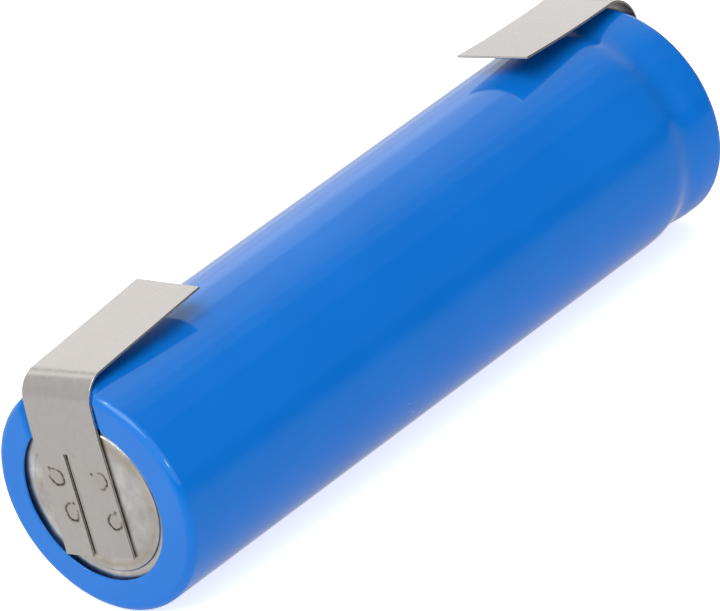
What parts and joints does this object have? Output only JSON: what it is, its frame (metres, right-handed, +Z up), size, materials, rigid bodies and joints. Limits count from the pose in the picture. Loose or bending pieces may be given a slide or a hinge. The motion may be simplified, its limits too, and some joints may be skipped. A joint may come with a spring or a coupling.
{
  "type": "cylindrical battery cell",
  "caption": "Cylindrical lithium-ion cell in a glossy blue shrink sleeve, with nickel solder tags welded to its ends and folded back along the barrel.",
  "frame": {"origin": "on the surface the cell lies on, under the middle of its overall length and under its axis", "axes": "+X along the cell's axis from the negative end (can bottom) to the positive end (cap), +Z up through both solder tags, +Y to the left looking along +X"},
  "size_m": [0.0658, 0.0184, 0.0203],
  "materials": {
    "can_steel": "nickel-plated, satin",
    "cap_steel": "nickel-plated, satin",
    "tag_nickel": "rolled nickel, satin",
    "blue_sleeve": "glossy shrink film",
    "separator_film": "white microporous film",
    "cathode": "coated foil, matt black",
    "anode": "coated foil, matt graphite",
    "wrap_tape": "amber tape",
    "inner_aluminium": "rolled",
    "insulator_board": "pressed fibre",
    "gasket": "moulded, translucent white",
    "ptc_polymer": "carbon-filled polymer",
    "washer_board": "white insulating board"
  },
  "bodies": {
    "cell": {"can": "can_steel", "shrink_sleeve": "blue_sleeve", "inner_separator": "separator_film", "outer_separator": "separator_film", "cathode_sheet": "cathode", "anode_sheet": "anode", "wrap_tape": "wrap_tape", "centre_pin": "can_steel", "negative_inner_tab": "tag_nickel", "positive_inner_tab": "inner_aluminium", "bottom_insulator": "insulator_board", "top_insulator": "insulator_board", "crimp_gasket": "gasket", "vent_disc": "inner_aluminium", "ptc_ring": "ptc_polymer", "positive_cap": "cap_steel", "weld_disc": "inner_aluminium", "vent_insulator_ring": "gasket", "insulating_washer": "washer_board", "negative_tag_foot": "tag_nickel", "positive_tag_foot": "tag_nickel"},
    "negative_leg": {"negative_tag_leg": "tag_nickel"},
    "positive_leg": {"positive_tag_leg": "tag_nickel"}
  },
  "joints": [
    {"name": "negative_tag_fold", "type": "hinge", "parent": "cell", "child": "negative_leg", "pos_m": [-0.03113, 0.00113, 0.01895], "axis": [0, -1, 0], "range_deg": [0, 90]},
    {"name": "positive_tag_fold", "type": "hinge", "parent": "cell", "child": "positive_leg", "pos_m": [0.03061, 0.00113, 0.01897], "axis": [0, 1, 0], "range_deg": [0, 90]}
  ]
}
